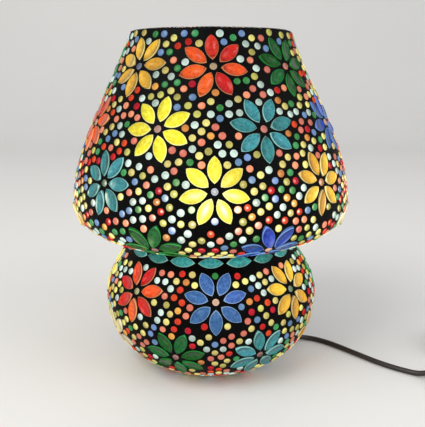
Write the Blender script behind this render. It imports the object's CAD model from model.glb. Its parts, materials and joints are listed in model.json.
# %% [markdown]
# # A mosaic glass table lamp
#
# The lamp is one blown glass body with flat glass stones glued on and black grout rubbed in between them.
# The solids come from the packed part and stay where they are. This script gives them their looks: it
# models each stone with its fired rim, the cord with its coil, and a material for every surface.
# Everything is in metres, with the origin on the table under the lamp.

# %% Load the packed lamp
import math
import json
import random

import bpy
import bmesh
import numpy as np
from mathutils import Matrix, Vector


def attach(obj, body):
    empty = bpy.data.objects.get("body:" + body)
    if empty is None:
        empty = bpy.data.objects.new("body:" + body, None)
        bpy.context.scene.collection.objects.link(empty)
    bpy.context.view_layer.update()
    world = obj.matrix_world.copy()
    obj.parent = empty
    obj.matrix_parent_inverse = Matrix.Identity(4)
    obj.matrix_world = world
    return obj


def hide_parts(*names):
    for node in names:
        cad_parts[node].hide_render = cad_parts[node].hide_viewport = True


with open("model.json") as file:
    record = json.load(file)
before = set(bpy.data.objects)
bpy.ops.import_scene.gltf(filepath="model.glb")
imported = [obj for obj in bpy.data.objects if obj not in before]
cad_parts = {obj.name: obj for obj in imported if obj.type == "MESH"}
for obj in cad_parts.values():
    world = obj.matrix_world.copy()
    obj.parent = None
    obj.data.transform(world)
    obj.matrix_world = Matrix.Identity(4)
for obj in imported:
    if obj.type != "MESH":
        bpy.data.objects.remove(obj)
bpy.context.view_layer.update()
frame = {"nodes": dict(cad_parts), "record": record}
nodes = frame["nodes"]
MM = 0.001
random.seed(7)

# %% [markdown]
# ## Camera
#
# A lens of about 50 mm stands a little lower than the rim and looks slightly down, so the rim shows as a
# thin line and the underside of the shade stays hidden.

# %% Camera
CAMERA_AT = (0.0, -0.450, 0.229)
CAMERA_DIP = 14.1
LENS_MM = 49.6
SENSOR_MM = 36.0

camera_data = bpy.data.cameras.new("camera")
camera_data.sensor_fit = "HORIZONTAL"
camera_data.sensor_width = SENSOR_MM
camera_data.lens = LENS_MM
camera_data.shift_x = 0.004
camera_data.clip_start = 0.01
camera = bpy.data.objects.new("camera", camera_data)
camera.location = CAMERA_AT
camera.rotation_euler = (math.radians(90 - CAMERA_DIP), 0, 0)
bpy.context.collection.objects.link(camera)
bpy.context.scene.camera = camera
print("camera:", CAMERA_AT, "dip", CAMERA_DIP)

# %% [markdown]
# ## Node helpers
#
# Every material is a small graph. These helpers keep the graphs short enough to read: each returns a socket
# that the next call can take as its input.


# %% Node helpers
class Graph:
    """A material's node tree, with one short call for each kind of node that the lamp needs."""

    def __init__(self, name):
        self.material = bpy.data.materials.new(name)
        self.material.use_nodes = True
        self.tree = self.material.node_tree
        self.tree.nodes.clear()
        coordinates = self.add("ShaderNodeTexCoord")
        self.place = coordinates.outputs["Object"]
        self.uv = coordinates.outputs["UV"]

    def add(self, kind, **values):
        node = self.tree.nodes.new(kind)
        for key, value in values.items():
            setattr(node, key, value)
        return node

    def put(self, socket, value):
        if isinstance(value, bpy.types.NodeSocket):
            self.tree.links.new(value, socket)
        elif isinstance(value, tuple) and len(value) == 3 and socket.type == "RGBA":
            socket.default_value = (*value, 1.0)
        else:
            socket.default_value = value

    def noise(self, scale, detail=3.0, rough=0.55, distortion=0.0, place=None):
        node = self.add("ShaderNodeTexNoise")
        self.put(node.inputs["Vector"], place or self.place)
        self.put(node.inputs["Scale"], scale)
        self.put(node.inputs["Detail"], detail)
        self.put(node.inputs["Roughness"], rough)
        self.put(node.inputs["Distortion"], distortion)
        return node.outputs["Fac"]

    def stretch(self, factors):
        node = self.add("ShaderNodeMapping")
        self.put(node.inputs["Vector"], self.place)
        node.inputs["Scale"].default_value = factors
        return node.outputs["Vector"]

    def math(self, operation, a, b=0.0, clamp=False):
        node = self.add("ShaderNodeMath", operation=operation, use_clamp=clamp)
        self.put(node.inputs[0], a)
        self.put(node.inputs[1], b)
        return node.outputs[0]

    def ramp(self, value, low, high, to_low=0.0, to_high=1.0):
        node = self.add("ShaderNodeMapRange", interpolation_type="SMOOTHSTEP")
        self.put(node.inputs["Value"], value)
        limits = {"From Min": low, "From Max": high, "To Min": to_low, "To Max": to_high}
        for socket, number in limits.items():
            self.put(node.inputs[socket], number)
        return node.outputs["Result"]

    def mix(self, share, a, b, blend="MIX"):
        node = self.add("ShaderNodeMix", data_type="RGBA", blend_type=blend)
        self.put(node.inputs[0], share)
        self.put(node.inputs[6], a)
        self.put(node.inputs[7], b)
        return node.outputs[2]

    def bump(self, height, strength, distance, normal=None):
        node = self.add("ShaderNodeBump")
        self.put(node.inputs["Height"], height)
        self.put(node.inputs["Strength"], strength)
        self.put(node.inputs["Distance"], distance)
        if normal is not None:
            self.put(node.inputs["Normal"], normal)
        return node.outputs["Normal"]

    def parts(self, vector):
        node = self.add("ShaderNodeSeparateXYZ")
        self.put(node.inputs[0], vector)
        return node.outputs

    def finish(self, **inputs):
        shader = self.add("ShaderNodeBsdfPrincipled")
        for key, value in inputs.items():
            self.put(shader.inputs[key.replace("_", " ")], value)
        output = self.add("ShaderNodeOutputMaterial")
        self.tree.links.new(shader.outputs[0], output.inputs[0])
        return self.material


print("node helpers:", [name for name in vars(Graph) if not name.startswith("_")])

# %% [markdown]
# ## Placing helpers
#
# Every piece needs three things besides its shape: the body that it moves with, the solids that it stands
# in for, and the slot of its finish. The record already says all three, so they are looked up and not
# typed again.


# %% Placing helpers
def paint(thing, material):
    thing.data.materials.clear()
    thing.data.materials.append(material)


def body_of(node):
    for body, members in frame["record"]["behaviour"]["bodies"].items():
        if node in members:
            return body
    return "lamp"


def stands_for(thing, *names):
    """The piece takes the place, the body and the finish slot of the CAD nodes."""
    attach(thing, body_of(names[0]))
    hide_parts(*names)


# %% [markdown]
# ## The cord
#
# The lead leaves through a tapered sleeve, lies on the table in a loose bend and goes out of view. There
# it enters an inline switch. The rest is wound in a coil of about eleven cord diameters, held by a tie,
# and ends in the plug. The two lengths are separate because a real inline switch cuts the cord in two.
#
# A cord could be an extruded ring of faces, but a curve with a round bevel bends smoothly through a few
# points. The places below are in millimetres, as in the part. The route is the part's own, except close to
# the coil: there it differs by a few millimetres, because the part's coil is one plain ring and this one has
# turns.

# %% Places along the cord
CORD_D = 4.0
LAY_Z = CORD_D / 2
EXIT_TURN = 100.0
EXIT_DIP = 12.0
SWITCH_AT = Vector((203.0, -70.0))
SWITCH_TURN = -25.0
SWITCH_L = 58.0
PORT_Z = 6.5
CORD_IN = 7.0
COIL_AT = Vector((220.0, -8.0))
COIL_R = 23.0
COIL_PITCH = 4.1
COIL_LIFT = 0.6
PLUG_AT = (248.0, 50.0)
PLUG_Z = 6.5
PLUG_RELIEF_L = 20.0

print("switch at", SWITCH_AT[:], "coil at", COIL_AT[:], "plug at", PLUG_AT)

# %% [markdown]
# ## Where the cord leaves the lamp
#
# The cord has to start exactly in the mouth of its sleeve. The sleeve is one of the packed solids, so its
# outer end is measured: the middle of the points that lie furthest along the sleeve's direction.

# %% Mouth of the sleeve
END_DEPTH = 0.01          # points this near the end, in millimetres, belong to its ring
exit_turn, exit_dip = math.radians(EXIT_TURN - 90), math.radians(EXIT_DIP)
exit_direction = Vector((
    math.cos(exit_turn) * math.cos(exit_dip), math.sin(exit_turn) * math.cos(exit_dip), -math.sin(exit_dip),
))


def mouth_of(node, direction):
    """The middle of the ring of points at the solid's far end in that direction."""
    points = [v.co for v in nodes[node].data.vertices]
    reach = max(p.dot(direction) for p in points)
    ring = [p for p in points if p.dot(direction) > reach - END_DEPTH * MM]
    return sum(ring, Vector()) / len(ring)


exit_at = mouth_of("cord_relief", exit_direction)
print("sleeve's mouth:", [round(v, 4) for v in exit_at])

# %% [markdown]
# ## Route of the cord
#
# The free stretches follow points set by hand, as a cord lies where it was dropped. Near the sleeve, the
# switch and the plug the route runs along their own axes, so that it goes in straight.

# %% Points of the free stretches
def on_switch(x):
    """A point on the switch's long axis, that far from its middle."""
    a = math.radians(SWITCH_TURN)
    return (SWITCH_AT.x + x * math.cos(a), SWITCH_AT.y + x * math.sin(a), PORT_Z)


def exit_point(t):
    """A point on the sleeve's axis, that far beyond its mouth."""
    return tuple((exit_at + exit_direction * (t * MM)) / MM)


ROUTE_A = [
    (78, 13.4, 3), (85, 13, 2.2), (92, 10, LAY_Z), (99, 5, LAY_Z), (107, -2.5, LAY_Z), (114, -10, LAY_Z),
    (122, -18.5, LAY_Z), (130, -27, LAY_Z), (139, -35, LAY_Z), (148, -41.5, LAY_Z), (158, -48, 2.8),
]
ROUTE_B = [
    (239.5, -85.9, 5.6), (245.4, -85.4, 4.6), (250.7, -82.9, 3.6), (254.9, -78.8, 2.8), (257.4, -73.4, 2.2),
    (258, -67, LAY_Z), (257.9, -59, LAY_Z), (256.7, -49, LAY_Z), (254.4, -39, LAY_Z), (251.2, -27, 2.2),
    (249, -17, 2.5),
]
ROUTE_C = [(248.3, 5, 14.4), (248.3, 13, 12.4), (248.1, 22, 8.8)]

half = SWITCH_L / 2
route_to_switch = (
    [exit_point(-6), exit_point(0)] + ROUTE_A
    + [on_switch(-half - 10), on_switch(-half), on_switch(CORD_IN - half)]
)
print("points to the switch:", len(route_to_switch))

# %% [markdown]
# ## The wound cord
#
# The cord of a packed lamp is wound by hand, in layers. One flat spiral would look drawn, so the turns run
# in and out by layers, and each layer climbs onto the one below over a quarter of a turn.


# %% Coil, and the whole way to the plug
def coil_points(turns, layers, per_turn=16, start=0.0):
    """Layers that run in and out by turns, each one cord above the last."""
    points = []
    turns_per_layer = turns / layers
    spread = turns_per_layer * COIL_PITCH / 2
    for i in range(int(turns * per_turn) + 1):
        turn = i / per_turn
        layer = min(int(turn / turns_per_layer), layers - 1)
        share = turn / turns_per_layer - layer
        inward = share if layer % 2 == 0 else 1 - share
        radius = COIL_R + spread - inward * 2 * spread
        climb = max(0.0, (turn - (layer + 1) * turns_per_layer) / 0.25 + 1) if layer < layers - 1 else 0.0
        height = COIL_LIFT + LAY_Z + (layer + climb * climb * (3 - 2 * climb)) * COIL_PITCH
        angle = start + turn * 2 * math.pi
        points.append((COIL_AT.x + radius * math.cos(angle), COIL_AT.y + radius * math.sin(angle), height))
    return points


COIL_TURNS = 10.0
COIL_LAYERS = 4
coil = coil_points(COIL_TURNS, COIL_LAYERS)
plug_from = (PLUG_AT[0], PLUG_AT[1] - PLUG_RELIEF_L, PLUG_Z)
plug_to = (PLUG_AT[0], PLUG_AT[1] + CORD_IN, PLUG_Z)
route_to_plug = (
    [on_switch(half - CORD_IN), on_switch(half), on_switch(half + 5)] + ROUTE_B + coil + ROUTE_C
    + [plug_from, (PLUG_AT[0], PLUG_AT[1] - PLUG_RELIEF_L / 2, PLUG_Z), plug_to]
)
print("points to the plug:", len(route_to_plug), "of them in the coil:", len(coil))

# %% [markdown]
# ## The cord as two curves
#
# A round bevel turns each curve into a cord. The bevel is one unit deep and every point carries the cord's
# radius, which keeps the curve's bound box true, because Blender adds the point's radius to that box.


# %% Two cord curves
def cord_curve(name, points, radius=CORD_D / 2):
    curve = bpy.data.curves.new(name, "CURVE")
    curve.dimensions = "3D"
    curve.bevel_depth = 1.0
    curve.bevel_resolution = 3
    curve.resolution_u = 4
    curve.use_fill_caps = True
    spline = curve.splines.new("BEZIER")
    spline.bezier_points.add(len(points) - 1)
    for knot, point in zip(spline.bezier_points, points):
        knot.co = [c * MM for c in point]
        knot.radius = radius * MM
        knot.handle_left_type = knot.handle_right_type = "AUTO"
    thing = bpy.data.objects.new(name, curve)
    bpy.context.collection.objects.link(thing)
    return thing


def curve_length(points):
    return sum(math.dist(a, b) for a, b in zip(points, points[1:])) * MM


cord_a = cord_curve("lead_to_switch", route_to_switch)
cord_b = cord_curve("lead_to_plug", route_to_plug)
stands_for(cord_a, "cord_to_switch")
stands_for(cord_b, "cord_to_coil", "cord_coil", "cord_to_plug")
print("to the switch:", round(curve_length(route_to_switch), 3))
print("to the plug:", round(curve_length(route_to_plug), 3))

# %% [markdown]
# ## Stones, read from the part
#
# Each colour is one node that holds many separate stones. Taking the node apart gives every stone's
# place, its outward direction, its length and its width, so the detailed stones sit where the solids are.
# A stone is flat, so its points spread least in its outward direction. The points of a pointed stone spread
# most along its length, and a round stone's length can be any direction across it.

# %% Find every stone's place
WELD = 1e-6               # points closer than this are one point


def stones_in(node):
    """The frames of the separate stones of one node, found by walking along their edges."""
    mesh = bmesh.new()
    mesh.from_mesh(nodes[node].data)
    bmesh.ops.remove_doubles(mesh, verts=mesh.verts, dist=WELD)
    mesh.verts.index_update()
    seen = set()
    found = []
    for first in mesh.verts:
        if first.index in seen:
            continue
        seen.add(first.index)
        pile = [first]
        points = []
        while pile:
            vertex = pile.pop()
            points.append(vertex.co[:])
            for edge in vertex.link_edges:
                other = edge.other_vert(vertex)
                if other.index not in seen:
                    seen.add(other.index)
                    pile.append(other)
        found.append(stone_frame(np.array(points)))
    mesh.free()
    return found


def stone_frame(points):
    """The stone's middle, its three directions (length, width, outwards) and its three sizes."""
    middle = points.mean(axis=0)
    _, directions = np.linalg.eigh(np.cov((points - middle).T))
    out = directions[:, 0]
    if out[0] * middle[0] + out[1] * middle[1] < 0:
        out = -out
    along = directions[:, 2]
    across = np.cross(out, along)
    axes = np.array([along, across, out])
    local = (points - middle) @ axes.T
    low, high = local.min(axis=0), local.max(axis=0)
    return middle + ((low + high) / 2) @ axes, axes, high - low


petal_nodes = [name for name in nodes if name.startswith("petals_")]
bead_nodes = [name for name in nodes if name.startswith("beads_")]
stone_nodes = petal_nodes + bead_nodes + ["flower_centres", "waist_stones"]
stone_places = {name: stones_in(name) for name in stone_nodes}
print({name: len(places) for name, places in stone_places.items()})

# %% [markdown]
# ## Modelling a stone
#
# The stones are cut from sheet glass and fired, which rounds the top edge and leaves a thick lip round a
# slightly sunken middle. Petals and belt stones are pointed at both ends, which two equal arcs draw. The
# others are round.


# %% Outlines of the stones
def lens_outline(length, width, per_side):
    """Points of two arcs that meet in a point at either end."""
    radius = (length * length + width * width) / (4 * width)
    sweep = math.asin(min(1.0, length / 2 / radius))
    shift = radius - width / 2
    upper = []
    for i in range(per_side):
        angle = -sweep + 2 * sweep * i / per_side
        upper.append((radius * math.sin(angle), radius * math.cos(angle) - shift))
    return upper + [(-x, -y) for x, y in upper]


def round_outline(diameter, count):
    return [
        (diameter / 2 * math.cos(2 * math.pi * i / count), diameter / 2 * math.sin(2 * math.pi * i / count))
        for i in range(count)
    ]


print("outline points:", len(lens_outline(18.0, 9.4, 9)), "and", len(round_outline(5.0, 14)))

# %% [markdown]
# ## Raising a stone ring by ring
#
# A bevel could round the top edge, but not sink the middle. So the outline is made a face once, and each
# extrusion of it is moved to the next ring of the profile. A poke closes the last ring with a middle point.
# Every point also keeps its share of the way to the edge, which the glass material reads.


# %% Raise a stone
def raised(rings):
    """Builds a stone from (outline, height, edge share) rings; returns points, faces and edge shares."""
    mesh = bmesh.new()
    outline, height, share = rings[0]
    loop = [mesh.verts.new((x, y, height)) for x, y in outline]
    cap = mesh.faces.new(loop)
    cap.normal_update()
    if cap.normal.z < 0:
        cap.normal_flip()
    shares = {vertex: share for vertex in loop}
    for outline, height, share in rings[1:]:
        made = bmesh.ops.extrude_face_region(mesh, geom=[cap])
        fresh = [item for item in made["geom"] if isinstance(item, bmesh.types.BMVert)]
        cap = next(item for item in made["geom"] if isinstance(item, bmesh.types.BMFace))
        pairs = []
        for vertex in fresh:
            old = min(range(len(loop)), key=lambda k: (loop[k].co - vertex.co).length)
            pairs.append((old, vertex))
        pairs.sort(key=lambda pair: pair[0])
        loop = [vertex for _, vertex in pairs]
        for vertex, (x, y) in zip(loop, outline):
            vertex.co = (x, y, height)
            shares[vertex] = share
    made = bmesh.ops.poke(mesh, faces=[cap])
    for vertex in made["verts"]:
        shares[vertex] = 0.0
    bmesh.ops.recalc_face_normals(mesh, faces=mesh.faces)
    mesh.verts.index_update()
    points = np.array([vertex.co[:] for vertex in mesh.verts])
    faces = [[vertex.index for vertex in face.verts] for face in mesh.faces]
    weights = np.array([shares[vertex] for vertex in mesh.verts])
    mesh.free()
    return points, faces, weights


SINK = 0.36 * MM          # how far a stone reaches under its solid, to the glass
PETAL_POINTS = 9          # points on each of a petal's two arcs
BEAD_POINTS = 14
# less length, less width and height over the top, all in millimetres, and the share of the way to the edge
PETAL_RINGS = [
    (0.0, 0.0, -0.75, 1.0), (0.5, 0.35, -0.2, 0.93), (1.6, 1.1, 0.05, 0.82),
    (3.6, 2.6, -0.12, 0.6), (8.0, 5.4, -0.2, 0.3),
]
# share of the diameter, which is the share of the way to the edge too, and height over the top
BEAD_RINGS = [(1.0, -0.55), (0.84, 0.05), (0.5, -0.1)]


def petal_shape(length, width, thick):
    rings = [(lens_outline(length, width, PETAL_POINTS), -thick / 2 - SINK, 1.0)]
    for shorter, narrower, over, share in PETAL_RINGS:
        outline = lens_outline(length - shorter * MM, width - narrower * MM, PETAL_POINTS)
        rings.append((outline, thick / 2 + over * MM, share))
    return raised(rings)


def bead_shape(diameter, thick):
    rings = [(round_outline(diameter, BEAD_POINTS), -thick / 2 - SINK, 1.0)]
    for share, over in BEAD_RINGS:
        rings.append((round_outline(diameter * share, BEAD_POINTS), thick / 2 + over * MM, share))
    return raised(rings)


print("rings of a petal:", len(PETAL_RINGS) + 1, "and of a round stone:", len(BEAD_RINGS) + 1)

# %% [markdown]
# ## All stones of one colour
#
# Two thousand objects would be slow, so each colour is one mesh. Stones cut by hand are never equal: each
# gets its own size, tilt, turn and tint. The tint goes into the mesh's UV map beside the share of the way
# to the edge.


# %% Set the stones in their places
def stone_piece(name, places, pointed):
    """One mesh with all the stones of one colour; each stone is a little different in size and tilt."""
    points, faces, shares, tints = [], [], [], []
    base = 0
    length, width, thick = np.median([place[2] for place in places], axis=0)
    shape = petal_shape(length, width, thick) if pointed else bead_shape((length + width) / 2, thick)
    for middle, axes, _ in places:
        tint = random.random()
        size = 1 + random.uniform(-0.05, 0.02)
        local = shape[0] * [size, size * (1 + random.uniform(-0.05, 0.01)), 1]
        tilt = Matrix.Rotation(math.radians(random.gauss(0, 1.6)), 3, "X") @ Matrix.Rotation(
            math.radians(random.gauss(0, 1.2)), 3, "Y"
        )
        spin = Matrix.Rotation(random.uniform(0, 6.28) if not pointed else 0.0, 3, "Z")
        local = local @ np.array(spin) @ np.array(tilt)
        points.append(middle + local @ axes)
        faces += [[base + index for index in face] for face in shape[1]]
        shares.append(shape[2])
        tints.append(np.full(len(shape[0]), tint))
        base += len(shape[0])
    mesh = bpy.data.meshes.new(name)
    mesh.from_pydata(np.concatenate(points).tolist(), [], faces)
    shares, tints = np.concatenate(shares), np.concatenate(tints)
    uv = mesh.uv_layers.new(name="stone")
    corner_points = np.empty(len(mesh.loops), dtype=np.int32)
    mesh.loops.foreach_get("vertex_index", corner_points)
    values = np.stack([shares[corner_points], tints[corner_points]], axis=1).astype(np.float32)
    uv.data.foreach_set("uv", values.ravel())
    mesh.shade_smooth()
    mesh.update()
    thing = bpy.data.objects.new(name, mesh)
    bpy.context.collection.objects.link(thing)
    return thing


stones = {}
for node, places in stone_places.items():
    pointed = node.startswith("petals_") or node == "waist_stones"
    stones[node] = stone_piece("stones_" + node, places, pointed)
    stands_for(stones[node], node)
print("stone faces:", sum(len(thing.data.polygons) for thing in stones.values()))

# %% [markdown]
# ## Colours of the flowers' middles
#
# The middles are one node, but their colours change from flower to flower. A material for each would be a
# long list, so each middle's colour is written to its points and one material reads it. There is a row
# for each row of flowers, from the foot up, and a row goes to the right round the lamp, from the front.

# %% Colours of the middles
ROW_STEP = 5 * MM         # middles that differ less in height are in the same row
TONES = {
    "brown": (0.40, 0.10, 0.055), "maroon": (0.34, 0.03, 0.025), "peach": (0.95, 0.46, 0.28),
    "leaf": (0.02, 0.15, 0.04), "olive": (0.42, 0.38, 0.08), "pearl": (0.72, 0.74, 0.90),
    "orange": (0.96, 0.30, 0.04), "rose": (0.66, 0.24, 0.18), "coral": (0.92, 0.13, 0.06),
    "straw": (0.96, 0.66, 0.30), "steel": (0.06, 0.14, 0.38),
}
MIDDLES = [
    ["brown", "olive", "coral", "straw", "leaf", "peach", "orange", "maroon"],
    ["peach", "leaf", "coral", "brown", "pearl", "straw", "orange", "olive"],
    ["peach", "straw", "leaf", "coral", "olive", "pearl", "steel", "maroon"],
    ["pearl", "orange", "straw", "coral", "peach", "leaf", "rose", "leaf"],
    ["coral", "peach", "steel", "straw", "brown", "leaf", "straw", "rose"],
    ["straw", "coral", "leaf", "peach", "orange", "pearl", "rose", "steel"],
]


def tone_stones(thing, places):
    """Writes each middle stone's colour to the attribute that its material reads."""
    heights = sorted(float(middle[2]) for middle, _, _ in places)
    rows = [z for z, below in zip(heights, [0.0] + heights) if z - below > ROW_STEP]
    each = len(thing.data.vertices) // len(places)
    tones = []
    for middle, _, _ in places:
        row = min(range(len(rows)), key=lambda i: abs(rows[i] - middle[2]))
        turn = math.degrees(math.atan2(middle[0], -middle[1]))
        tones += [(*TONES[MIDDLES[row][int((turn + 10) % 360 // 45)]], 1.0)] * each
    layer = thing.data.color_attributes.new("tone", "FLOAT_COLOR", "POINT")
    layer.data.foreach_set("color", np.array(tones, dtype=np.float32).ravel())
    return len(rows)


print("rows of middles:", tone_stones(stones["flower_centres"], stone_places["flower_centres"]))

# %% [markdown]
# ## Stone glass
#
# The stones are coloured sheet glass, lit from behind. Real light through two layers of glass and a bed
# of grout takes very long to render and is full of specks, so a stone gives its own light. It is
# strongest where the bulb is level with the stone, and where the stone faces the viewer, because the bulb
# is right behind it.

# %% Light behind the stones
BULB_Z = 0.122            # height of the bulb's middle
GLOW_REACH = 0.085        # height over which its light falls off
HOT_Z = 0.141             # height at which the bulb is seen straight through the glass
HOT_REACH = 0.017
BLACK = (0.0, 0.0, 0.0)
CREAM = (1.0, 0.95, 0.85)
LAMPLIGHT = (1.0, 0.92, 0.62)


def bell(graph, height, middle, reach):
    """1 at that height, and less and less away from it."""
    step = graph.math("DIVIDE", graph.math("SUBTRACT", height, middle), reach)
    return graph.math("EXPONENT", graph.math("MULTIPLY", graph.math("MULTIPLY", step, step), -1.0))


def light_behind(graph, glow, share, mottle, pointed):
    """Strength of the light that comes through a stone, and how much of it is the bulb itself."""
    height = graph.parts(graph.place)[2]
    weight = graph.add("ShaderNodeLayerWeight")
    weight.inputs["Blend"].default_value = 0.5
    facing = graph.math("SUBTRACT", 1.0, weight.outputs["Facing"], clamp=True)
    hot = graph.math("MULTIPLY", graph.math("POWER", facing, 10.0), bell(graph, height, HOT_Z, HOT_REACH))
    spread = graph.math("ADD", graph.math("MULTIPLY", bell(graph, height, BULB_Z, GLOW_REACH), 0.4), 0.6)
    body = graph.math("MULTIPLY", graph.math("POWER", facing, 0.4), spread)
    strength = graph.math("MULTIPLY", graph.math("ADD", body, 0.08), glow)
    strength = graph.math("MULTIPLY", strength, graph.ramp(mottle, 0.3, 0.7, 0.85, 1.15))
    edge = graph.ramp(share, 0.96 if pointed else 0.88, 1.0, 1.0, 0.45)
    strength = graph.math("MULTIPLY", strength, edge)
    if not pointed:
        strength = graph.math("MULTIPLY", strength, graph.ramp(share, 0.5, 0.76, 0.55, 1.0))
    return graph.math("ADD", strength, graph.math("MULTIPLY", hot, 0.9)), hot


print("light is strongest at", BULB_Z, "m and seen through at", HOT_Z, "m")

# %% [markdown]
# ## Colour of the stones
#
# Each stone has a deep middle, a paler fired lip round its edge, and clouds of lighter colour inside. The
# pale lip follows the stone's outline through the share that the mesh carries, which no pattern in
# space could do, and the tint turns and darkens each stone a little.


# %% Stone material
def stone_material(name, deep, light, lip, glow, pointed):
    """UV.x is the share of the way to the edge, UV.y the stone's own tint."""
    graph = Graph(name)
    share, tint, _ = graph.parts(graph.uv)
    cloud = graph.noise(420.0, 4.0, 0.6, 0.8)
    streak = graph.noise(1500.0, 2.0, 0.7)
    mottle = graph.math("ADD", graph.math("MULTIPLY", cloud, 0.75), graph.math("MULTIPLY", streak, 0.25))
    if light is None:
        light = graph.add("ShaderNodeAttribute", attribute_name="tone").outputs["Color"]
        deep, lip = graph.mix(0.45, light, BLACK), graph.mix(0.35, light, CREAM)
    inner = graph.mix(graph.ramp(mottle, 0.30, 0.72), deep, light)
    if pointed:
        lip_share = graph.ramp(share, 0.80, 0.93, 0.0, 0.9)
    else:
        lip_share = graph.ramp(share, 0.66, 0.86, 0.0, 0.7)
    hue = graph.add("ShaderNodeHueSaturation")
    graph.put(hue.inputs["Hue"], graph.ramp(tint, 0.0, 1.0, 0.490, 0.510))
    graph.put(hue.inputs["Value"], graph.ramp(tint, 0.0, 1.0, 0.70, 1.05))
    graph.put(hue.inputs["Color"], graph.mix(lip_share, inner, lip))
    colour = hue.outputs[0]
    strength, hot = light_behind(graph, glow, share, mottle, pointed)
    return graph.finish(
        Base_Color=graph.mix(0.8, colour, BLACK), Roughness=graph.ramp(streak, 0.3, 0.7, 0.10, 0.26),
        IOR=1.52, Specular_IOR_Level=0.12, Coat_Weight=0.12, Coat_Roughness=0.10,
        Normal=graph.bump(mottle, 0.5, 0.0004),
        Emission_Color=graph.mix(graph.math("MULTIPLY", hot, 0.8, clamp=True), colour, LAMPLIGHT),
        Emission_Strength=strength,
    )


# Deep colour, light colour, lip colour and strength of the light behind. The flowers' middles read their
# colour from their points.
STONE_COLOURS = {
    "petals_amber": ((0.88, 0.40, 0.008), (1.0, 0.58, 0.035), (1.0, 0.82, 0.36), 1.08),
    "petals_red": ((0.72, 0.018, 0.003), (1.0, 0.078, 0.008), (1.0, 0.42, 0.20), 1.08),
    "petals_green": ((0.001, 0.060, 0.008), (0.004, 0.17, 0.018), (0.05, 0.40, 0.09), 1.0),
    "petals_teal": ((0.012, 0.17, 0.21), (0.045, 0.36, 0.38), (0.40, 0.84, 0.76), 1.0),
    "petals_blue": ((0.002, 0.024, 0.26), (0.010, 0.080, 0.50), (0.22, 0.42, 0.88), 1.0),
    "petals_slate": ((0.020, 0.085, 0.30), (0.06, 0.19, 0.52), (0.40, 0.60, 0.90), 1.0),
    "petals_yellow": ((0.80, 0.62, 0.008), (0.98, 0.86, 0.025), (1.0, 0.95, 0.42), 1.08),
    "petals_cream": ((0.90, 0.62, 0.16), (1.0, 0.86, 0.42), (1.0, 0.96, 0.74), 1.0),
    "flower_centres": (None, None, None, 1.0),
    "waist_stones": ((0.006, 0.15, 0.15), (0.035, 0.38, 0.34), (0.40, 0.80, 0.66), 0.9),
    "beads_white": ((0.18, 0.46, 0.38), (0.46, 0.76, 0.62), (0.88, 1.0, 0.90), 1.25),
    "beads_lemon": ((0.60, 0.38, 0.006), (0.92, 0.68, 0.035), (1.0, 0.93, 0.36), 1.31),
    "beads_olive": ((0.26, 0.23, 0.008), (0.50, 0.46, 0.02), (0.86, 0.82, 0.24), 1.19),
    "beads_coral": ((0.32, 0.022, 0.012), (0.70, 0.085, 0.040), (0.98, 0.34, 0.20), 1.12),
    "beads_red": ((0.30, 0.001, 0.002), (0.72, 0.006, 0.008), (0.95, 0.06, 0.04), 1.2),
    "beads_slate": ((0.010, 0.04, 0.14), (0.03, 0.10, 0.29), (0.24, 0.42, 0.72), 1.0),
    "beads_green": ((0.001, 0.055, 0.006), (0.003, 0.15, 0.018), (0.07, 0.42, 0.12), 1.0),
    "beads_orange": ((0.74, 0.10, 0.004), (1.0, 0.24, 0.010), (1.0, 0.52, 0.14), 1.25),
}
for node, thing in stones.items():
    deep, light, lip, glow = STONE_COLOURS[node]
    pointed = node.startswith("petals_") or node == "waist_stones"
    paint(thing, stone_material("glass_" + node, deep, light, lip, glow, pointed))
print("stone materials:", len(STONE_COLOURS))

# %% [markdown]
# ## Softened copies
#
# Moulded and turned pieces never have knife edges. Modelling them again would risk a misfit, so a copy of
# the solid is welded, its flat faces are made whole, and a bevel rounds its sharp edges. It stands in for
# the solid.

# %% Softened copies of the hard pieces
FLAT_WITHIN = 1.0         # degrees between faces that are one flat face
SHARP_FROM = 30.0         # degrees between faces whose edge is rounded


def softened(node, width):
    """A welded copy of the solid with edges rounded to that width, in millimetres."""
    mesh = bmesh.new()
    mesh.from_mesh(nodes[node].data)
    bmesh.ops.remove_doubles(mesh, verts=mesh.verts, dist=WELD)
    inner = [edge for edge in mesh.edges if len(edge.link_faces) == 2]
    bmesh.ops.dissolve_limit(mesh, angle_limit=math.radians(FLAT_WITHIN), verts=mesh.verts, edges=inner)
    copy = bpy.data.meshes.new(node + "_shape")
    mesh.to_mesh(copy)
    mesh.free()
    copy.shade_smooth()
    thing = bpy.data.objects.new(node + "_finished", copy)
    bpy.context.collection.objects.link(thing)
    bevel = thing.modifiers.new("rounded edges", "BEVEL")
    bevel.width = width * MM
    bevel.segments = 3
    bevel.limit_method = "ANGLE"
    bevel.angle_limit = math.radians(SHARP_FROM)
    bevel.harden_normals = True
    stands_for(thing, node)
    return thing


SOFT = {
    "switch_base": 0.8, "switch_cover": 1.2, "switch_rocker": 0.4, "plug_body": 1.6, "plug_pins": 0.7,
    "nipple_nut": 0.4, "holder_cap": 0.5, "holder_sleeve": 0.5, "holder_insulator": 0.5, "cord_tie": 0.2,
}
finished = {node: softened(node, width) for node, width in SOFT.items()}
print("softened:", sorted(finished))

# %% [markdown]
# ## Grout and glass
#
# Grout is a fine cement: black, slightly rough, with pits and a faint grey bloom. Fine noise in the bump
# and coarse noise in the colour give both, and its shine is kept low so that the stones lead. The body is
# clear blown glass with slow ripples, and the bulb is frosted and lit.


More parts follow.
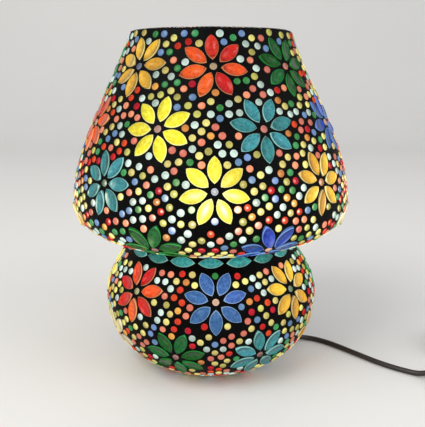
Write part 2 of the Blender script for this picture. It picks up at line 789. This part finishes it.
# %% Materials of the grout and the glass
def grout():
    graph = Graph("black_grout")
    grain = graph.noise(2600.0, 4.0, 0.7)
    pits = graph.noise(700.0, 3.0, 0.6)
    colour = graph.mix(graph.ramp(pits, 0.5, 0.75), (0.0008, 0.0007, 0.0007), (0.004, 0.0036, 0.0033))
    normal = graph.bump(grain, 0.35, 0.0002, graph.bump(pits, 0.4, 0.0004))
    return graph.finish(
        Base_Color=colour, Roughness=graph.ramp(grain, 0.3, 0.7, 0.45, 0.65), Specular_IOR_Level=0.06,
        Normal=normal,
    )


def clear_glass(name, tint, rough, ripple):
    graph = Graph(name)
    waves = graph.noise(60.0, 2.0, 0.5)
    return graph.finish(
        Base_Color=graph.mix(graph.ramp(waves, 0.3, 0.7), tint, (0.97, 1.0, 0.99)),
        Roughness=rough, IOR=1.5, Transmission_Weight=1.0, Normal=graph.bump(waves, ripple, 0.001),
    )


def lit_glass():
    graph = Graph("frosted_bulb")
    height = graph.parts(graph.place)[2]
    veil = graph.noise(900.0, 2.0, 0.5)
    colour = graph.mix(graph.ramp(veil, 0.4, 0.6), (1.0, 0.84, 0.60), (1.0, 0.88, 0.68))
    strength = graph.ramp(height, 0.066, 0.09, 0.5, 1.0)
    return graph.finish(
        Base_Color=(0.95, 0.93, 0.90), Roughness=0.35, IOR=1.5,
        Emission_Color=colour, Emission_Strength=strength,
    )


def glazed(name, colour):
    """Porcelain or fired black glass, with a thin clear glaze on top."""
    graph = Graph(name)
    drift = graph.noise(110.0, 3.0, 0.5)
    warm = (colour[0], colour[1] * 0.97, colour[2] * 0.92)
    return graph.finish(
        Base_Color=graph.mix(graph.ramp(drift, 0.4, 0.7), colour, warm), Roughness=0.16, Coat_Weight=0.7,
        Coat_Roughness=0.05, Normal=graph.bump(drift, 0.1, 0.0005),
    )


GLASSES = {
    "grout_coat": grout(), "glass_body": clear_glass("blown_glass", (0.93, 0.98, 0.97), 0.03, 0.25),
    "bulb_glass": lit_glass(), "bulb_stem": clear_glass("stem_glass", (0.95, 0.97, 0.95), 0.05, 0.1),
    "bulb_insulator": glazed("black_glass", (0.012, 0.012, 0.016)),
}
print("grout and glass:", sorted(GLASSES))

# %% [markdown]
# ## Metals
#
# The thread shell is pressed brass, the tube and the washers are zinc-plated steel, and the bulb's cap is
# aluminium. All of them share one recipe: brush marks that are noise stretched along the piece, and a dull
# tarnish in patches.


# %% Metals
def metal(name, colour, rough, grain):
    graph = Graph(name)
    brushed = graph.noise(300.0, 4.0, 0.6, 0.0, graph.stretch((1.0, 1.0, grain)))
    tarnish = graph.noise(90.0, 3.0, 0.6)
    worn = tuple(c * 0.72 for c in colour)
    return graph.finish(
        Base_Color=graph.mix(graph.ramp(tarnish, 0.45, 0.75), colour, worn), Metallic=1.0,
        Roughness=graph.ramp(brushed, 0.3, 0.7, rough * 0.7, rough * 1.4),
        Normal=graph.bump(brushed, 0.15, 0.0002),
    )


brass = metal("brass", (0.80, 0.58, 0.24), 0.28, 0.1)
METALS = {
    "centre_contact": brass, "thread_shell": brass, "switch_contacts": brass,
    "bulb_contact": metal("contact_tin", (0.62, 0.60, 0.56), 0.3, 1.0),
    "bulb_cap": metal("cap_aluminium", (0.78, 0.78, 0.78), 0.25, 8.0),
}
steel = metal("zinc_steel", (0.56, 0.56, 0.55), 0.32, 0.1)
for node in ("nipple", "steel_washer", "terminal_screws", "switch_screws"):
    METALS[node] = steel
print("metals:", sorted(METALS))

# %% [markdown]
# ## Plastic, rubber and felt
#
# The cord, the switch and the plug are moulded. A moulding is never quite even: it has a fine grain from
# its mould and a trace of dust. Felt scatters light at its edge, which the sheen gives, and its hair is
# fine noise. The strips in the bulb are dotted with phosphor and shine by themselves.


# %% Plastic, rubber, felt and the bulb's strips
def moulded(name, colour, rough, texture):
    """Plastic or rubber: a fine moulded grain and a trace of dust in it."""
    graph = Graph(name)
    grain = graph.noise(texture, 3.0, 0.6)
    smear = graph.noise(70.0, 3.0, 0.6)
    dusty = tuple(c * 0.8 + 0.02 for c in colour)
    return graph.finish(
        Base_Color=graph.mix(graph.ramp(smear, 0.5, 0.8, 0.0, 0.6), colour, dusty),
        Roughness=graph.ramp(smear, 0.3, 0.7, rough * 0.85, rough * 1.2),
        Normal=graph.bump(grain, 0.2, 0.00015),
    )


def felt():
    graph = Graph("felt_pad")
    hair = graph.noise(1800.0, 5.0, 0.8, 1.5)
    colour = graph.mix(graph.ramp(hair, 0.35, 0.65), (0.030, 0.022, 0.018), (0.09, 0.07, 0.055))
    normal = graph.bump(hair, 0.7, 0.0004)
    return graph.finish(Base_Color=colour, Roughness=0.95, Sheen_Weight=0.6, Normal=normal)


def glowing_strip():
    graph = Graph("light_strip")
    dots = graph.noise(1400.0, 2.0, 0.5)
    colour = graph.mix(graph.ramp(dots, 0.35, 0.65), (1.0, 0.55, 0.12), (1.0, 0.75, 0.35))
    return graph.finish(
        Base_Color=(0.9, 0.6, 0.2), Roughness=0.5, Emission_Color=colour, Emission_Strength=8.0,
    )


black_rubber = moulded("black_rubber", (0.018, 0.017, 0.016), 0.62, 1600.0)
cord_sheath = moulded("cord_sheath", (0.022, 0.015, 0.012), 0.42, 900.0)
MOULDED = {
    "rubber_washer": black_rubber, "seat_washer": black_rubber, "cord_relief": black_rubber,
    "plug_relief": black_rubber, "inner_lead": cord_sheath, "foot_pad": felt(),
    "bulb_filaments": glowing_strip(),
}
print("rubber, felt and strips:", sorted(MOULDED))

# %% [markdown]
# ## Painting the pieces
#
# Pieces that keep their solid's shape are painted on the node itself. Softened pieces and the cord are
# objects of this script and are painted there.

# %% Paint everything but the stones
for node, material in {**GLASSES, **METALS, **MOULDED}.items():
    paint(nodes[node], material)
black_plastic = moulded("black_plastic", (0.014, 0.0135, 0.013), 0.34, 2200.0)
ivory_plastic = moulded("ivory_plastic", (0.78, 0.73, 0.62), 0.36, 1500.0)
SOFT_FINISHES = {
    "switch_base": black_plastic, "switch_cover": black_plastic, "plug_body": black_plastic,
    "switch_rocker": moulded("rocker_plastic", (0.34, 0.012, 0.010), 0.22, 1800.0),
    "plug_pins": metal("nickel_pins", (0.76, 0.74, 0.70), 0.18, 0.2), "nipple_nut": brass,
    "holder_cap": ivory_plastic, "holder_sleeve": ivory_plastic,
    "holder_insulator": glazed("porcelain", (0.86, 0.85, 0.80)),
    "cord_tie": moulded("tie_plastic", (0.05, 0.05, 0.05), 0.45, 1500.0),
}
for node, material in SOFT_FINISHES.items():
    paint(finished[node], material)
for thing in (cord_a, cord_b):
    paint(thing, cord_sheath)
print("painted:", len(GLASSES) + len(METALS) + len(MOULDED), "solids and", len(SOFT_FINISHES), "copies")

# %% [markdown]
# ## What each length of cord does
#
# A cord can be moved, and the library needs to know how. Each length is declared with where it starts,
# how long and thick it is, how it lies, and which pieces hang on its far end and move with it.

print("cords declared:", cord_a.name, "and", cord_b.name)

# %% [markdown]
# ## Floor and light
#
# A pale floor that curves up behind the lamp, and two large soft lights kept low, so that the lit stones
# still lead.


# %% Floor, backdrop and lights
def sweep_floor():
    mesh = bmesh.new()
    profile = [(-1.6, 0.0), (1.2, 0.0)]
    for degrees in range(10, 91, 10):
        a = math.radians(degrees)
        profile.append((1.2 + 0.5 * math.sin(a), 0.5 - 0.5 * math.cos(a)))
    profile += [(1.7, 1.8)]
    rows = [[mesh.verts.new((x, y, z)) for y, z in profile] for x in (-2.4, 2.4)]
    for i in range(len(profile) - 1):
        mesh.faces.new((rows[0][i], rows[1][i], rows[1][i + 1], rows[0][i + 1]))
    data = bpy.data.meshes.new("backdrop")
    mesh.to_mesh(data)
    mesh.free()
    data.shade_smooth()
    thing = bpy.data.objects.new("backdrop", data)
    bpy.context.collection.objects.link(thing)
    graph = Graph("pale_floor")
    drift = graph.noise(3.0, 3.0, 0.5)
    paint(thing, graph.finish(
        Base_Color=graph.mix(drift, (0.78, 0.765, 0.74), (0.82, 0.805, 0.78)), Roughness=0.55,
    ))
    return thing


sweep_floor()


def soft_light(name, place, size, power, colour):
    data = bpy.data.lights.new(name, "AREA")
    data.shape = "SQUARE"
    data.size = size
    data.energy = power
    data.color = colour
    thing = bpy.data.objects.new(name, data)
    thing.location = place
    thing.rotation_euler = (Vector((0, 0, 0.12)) - Vector(place)).to_track_quat("-Z", "Y").to_euler()
    bpy.context.collection.objects.link(thing)


soft_light("key", (-0.9, -0.8, 1.3), 1.0, 18.0, (1.0, 0.98, 0.95))
soft_light("fill", (1.1, -0.6, 0.9), 1.0, 8.0, (0.95, 0.97, 1.0))
print("lights:", [light.name for light in bpy.data.lights])
world = bpy.data.worlds.new("studio")
world.use_nodes = True
world.node_tree.nodes["Background"].inputs["Color"].default_value = (0.9, 0.92, 0.95, 1.0)
world.node_tree.nodes["Background"].inputs["Strength"].default_value = 0.6
bpy.context.scene.world = world
bpy.context.scene.view_settings.view_transform = "Standard"

# %% [markdown] ## Hand-over  The box round the finished pieces is written beside the box round the solids,
# so that a piece which strays out of the lamp is noticed.

# %% Write the two boxes and finish
bpy.context.view_layer.update()
